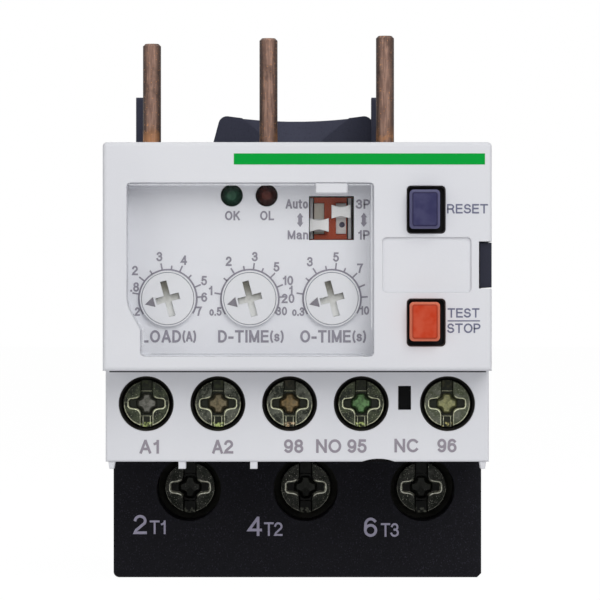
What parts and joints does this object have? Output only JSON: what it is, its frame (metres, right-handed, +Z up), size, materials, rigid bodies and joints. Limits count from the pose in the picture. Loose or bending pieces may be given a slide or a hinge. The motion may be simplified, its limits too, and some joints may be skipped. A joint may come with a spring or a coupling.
{
  "type": "electronic overcurrent relay",
  "caption": "Plug-under motor overcurrent relay: white control cover with setting dials under a clear flap, push buttons, black base, copper prongs and screw terminals.",
  "frame": {"origin": "on the middle prong's axis, at the top face of the housing", "axes": "+X to the right seen from the front, +Y to the back, +Z up along the prongs"},
  "size_m": [0.045, 0.0715, 0.0668],
  "materials": {
    "white_plastic": "satin",
    "black_plastic": "satin",
    "clear_plastic": "gloss",
    "copper": "oxidised",
    "terminal_brass": "satin",
    "chromate_steel": "yellow chromate",
    "clamp_steel": "zinc plated",
    "potting": "matte",
    "board": "satin",
    "relay_iron": "plain",
    "coil": "varnished",
    "contact_silver": "plain",
    "capacitor_can": "plain",
    "chip": "matte",
    "trimmer": "matte",
    "dial_white": "satin",
    "lens_green": "gloss",
    "lens_red": "gloss",
    "switch_red": "satin",
    "slider_white": "satin",
    "button_blue": "gloss",
    "button_orange": "gloss",
    "switch_black": "matte"
  },
  "bodies": {
    "housing": {"base_housing": "black_plastic", "rear_cover": "black_plastic", "control_block": "white_plastic", "front_cover": "white_plastic", "control_plates": "terminal_brass", "main_board": "board", "relay_frame": "relay_iron", "relay_coil": "coil", "relay_contacts": "contact_silver", "supply_capacitor": "capacitor_can", "controller_chip": "chip", "led_green": "lens_green", "led_red": "lens_red", "dip_body": "switch_red", "reset_switch": "switch_black", "test_switch": "switch_black", "conductor_1": "copper", "current_transformer_1": "potting", "power_plate_1": "terminal_brass", "trimmer_1": "trimmer", "conductor_2": "copper", "current_transformer_2": "potting", "power_plate_2": "terminal_brass", "trimmer_2": "trimmer", "conductor_3": "copper", "current_transformer_3": "potting", "power_plate_3": "terminal_brass", "trimmer_3": "trimmer"},
    "window": {"setting_window": "clear_plastic"},
    "slider_left": {"dip_slider_left": "slider_white"},
    "slider_right": {"dip_slider_right": "slider_white"},
    "reset": {"reset_button": "button_blue", "reset_plunger": "switch_black"},
    "test": {"test_button": "button_orange", "test_plunger": "switch_black"},
    "armature": {"relay_armature": "relay_iron"},
    "dial_1": {"dial_1": "dial_white"},
    "dial_2": {"dial_2": "dial_white"},
    "dial_3": {"dial_3": "dial_white"},
    "power_clamp_1": {"power_clamp_1": "clamp_steel"},
    "power_screw_1": {"power_screw_1": "chromate_steel"},
    "power_clamp_2": {"power_clamp_2": "clamp_steel"},
    "power_screw_2": {"power_screw_2": "chromate_steel"},
    "power_clamp_3": {"power_clamp_3": "clamp_steel"},
    "power_screw_3": {"power_screw_3": "chromate_steel"},
    "control_clamp_1": {"control_clamp_1": "clamp_steel"},
    "control_screw_1": {"control_screw_1": "chromate_steel"},
    "control_clamp_2": {"control_clamp_2": "clamp_steel"},
    "control_screw_2": {"control_screw_2": "chromate_steel"},
    "control_clamp_3": {"control_clamp_3": "clamp_steel"},
    "control_screw_3": {"control_screw_3": "chromate_steel"},
    "control_clamp_4": {"control_clamp_4": "clamp_steel"},
    "control_screw_4": {"control_screw_4": "chromate_steel"},
    "control_clamp_5": {"control_clamp_5": "clamp_steel"},
    "control_screw_5": {"control_screw_5": "chromate_steel"}
  },
  "joints": [
    {"name": "window_hinge", "type": "hinge", "parent": "housing", "child": "window", "pos_m": [-0.001, -0.0361, -0.02404], "axis": [1, 0, 0], "range_deg": [0, 95]},
    {"name": "slider_left_move", "type": "slide", "parent": "housing", "child": "slider_left", "axis": [0, 0, 1], "range_m": [0, 0.00157]},
    {"name": "slider_right_move", "type": "slide", "parent": "housing", "child": "slider_right", "axis": [0, 0, -1], "range_m": [0, 0.00157]},
    {"name": "reset_press", "type": "slide", "parent": "housing", "child": "reset", "axis": [0, 1, 0], "range_m": [0, 0.001], "stiffness_N_per_m": 1500, "springref_m": -0.0006},
    {"name": "test_press", "type": "slide", "parent": "housing", "child": "test", "axis": [0, 1, 0], "range_m": [0, 0.001], "stiffness_N_per_m": 1500, "springref_m": -0.0006},
    {"name": "armature_hinge", "type": "hinge", "parent": "housing", "child": "armature", "pos_m": [-0.0018, -0.0169, -0.005], "axis": [0, 1, 0], "range_deg": [0, 3.5]},
    {"name": "dial_1_turn", "type": "hinge", "parent": "housing", "child": "dial_1", "pos_m": [-0.01149, -0.033, -0.0181], "axis": [0, 1, 0], "range_deg": [-15, 224]},
    {"name": "dial_2_turn", "type": "hinge", "parent": "housing", "child": "dial_2", "pos_m": [-0.00192, -0.033, -0.0181], "axis": [0, 1, 0], "range_deg": [-15, 224]},
    {"name": "dial_3_turn", "type": "hinge", "parent": "housing", "child": "dial_3", "pos_m": [0.00765, -0.033, -0.0181], "axis": [0, 1, 0], "range_deg": [-15, 224]},
    {"name": "power_clamp_1_slide", "type": "slide", "parent": "housing", "child": "power_clamp_1", "axis": [0, 1, 0], "range_m": [0, 0.0028]},
    {"name": "power_screw_1_turn", "type": "hinge", "parent": "power_clamp_1", "child": "power_screw_1", "pos_m": [-0.00968, -0.001, -0.0414], "axis": [0, 1, 0], "range_deg": [0, 1440]},
    {"name": "power_clamp_2_slide", "type": "slide", "parent": "housing", "child": "power_clamp_2", "axis": [0, 1, 0], "range_m": [0, 0.0028]},
    {"name": "power_screw_2_turn", "type": "hinge", "parent": "power_clamp_2", "child": "power_screw_2", "pos_m": [0.00462, -0.001, -0.0414], "axis": [0, 1, 0], "range_deg": [0, 1440]},
    {"name": "power_clamp_3_slide", "type": "slide", "parent": "housing", "child": "power_clamp_3", "axis": [0, 1, 0], "range_m": [0, 0.0028]},
    {"name": "power_screw_3_turn", "type": "hinge", "parent": "power_clamp_3", "child": "power_screw_3", "pos_m": [0.01892, -0.001, -0.0414], "axis": [0, 1, 0], "range_deg": [0, 1440]},
    {"name": "control_clamp_1_slide", "type": "slide", "parent": "housing", "child": "control_clamp_1", "axis": [0, 1, 0], "range_m": [0, 0.0024]},
    {"name": "control_screw_1_turn", "type": "hinge", "parent": "control_clamp_1", "child": "control_screw_1", "pos_m": [-0.0141, -0.027, -0.03041], "axis": [0, 1, 0], "range_deg": [0, 1440]},
    {"name": "control_clamp_2_slide", "type": "slide", "parent": "housing", "child": "control_clamp_2", "axis": [0, 1, 0], "range_m": [0, 0.0024]},
    {"name": "control_screw_2_turn", "type": "hinge", "parent": "control_clamp_2", "child": "control_screw_2", "pos_m": [-0.0057, -0.027, -0.03041], "axis": [0, 1, 0], "range_deg": [0, 1440]},
    {"name": "control_clamp_3_slide", "type": "slide", "parent": "housing", "child": "control_clamp_3", "axis": [0, 1, 0], "range_m": [0, 0.0024]},
    {"name": "control_screw_3_turn", "type": "hinge", "parent": "control_clamp_3", "child": "control_screw_3", "pos_m": [0.0027, -0.027, -0.03041], "axis": [0, 1, 0], "range_deg": [0, 1440]},
    {"name": "control_clamp_4_slide", "type": "slide", "parent": "housing", "child": "control_clamp_4", "axis": [0, 1, 0], "range_m": [0, 0.0024]},
    {"name": "control_screw_4_turn", "type": "hinge", "parent": "control_clamp_4", "child": "control_screw_4", "pos_m": [0.0111, -0.027, -0.03041], "axis": [0, 1, 0], "range_deg": [0, 1440]},
    {"name": "control_clamp_5_slide", "type": "slide", "parent": "housing", "child": "control_clamp_5", "axis": [0, 1, 0], "range_m": [0, 0.0024]},
    {"name": "control_screw_5_turn", "type": "hinge", "parent": "control_clamp_5", "child": "control_screw_5", "pos_m": [0.0212, -0.027, -0.03041], "axis": [0, 1, 0], "range_deg": [0, 1440]}
  ],
  "couplings": [
    {"joint": "power_screw_1_turn", "follows": "power_clamp_1_slide", "rad_per_m": 8976},
    {"joint": "power_screw_2_turn", "follows": "power_clamp_2_slide", "rad_per_m": 8976},
    {"joint": "power_screw_3_turn", "follows": "power_clamp_3_slide", "rad_per_m": 8976},
    {"joint": "control_screw_1_turn", "follows": "control_clamp_1_slide", "rad_per_m": 10472},
    {"joint": "control_screw_2_turn", "follows": "control_clamp_2_slide", "rad_per_m": 10472},
    {"joint": "control_screw_3_turn", "follows": "control_clamp_3_slide", "rad_per_m": 10472},
    {"joint": "control_screw_4_turn", "follows": "control_clamp_4_slide", "rad_per_m": 10472},
    {"joint": "control_screw_5_turn", "follows": "control_clamp_5_slide", "rad_per_m": 10472}
  ]
}
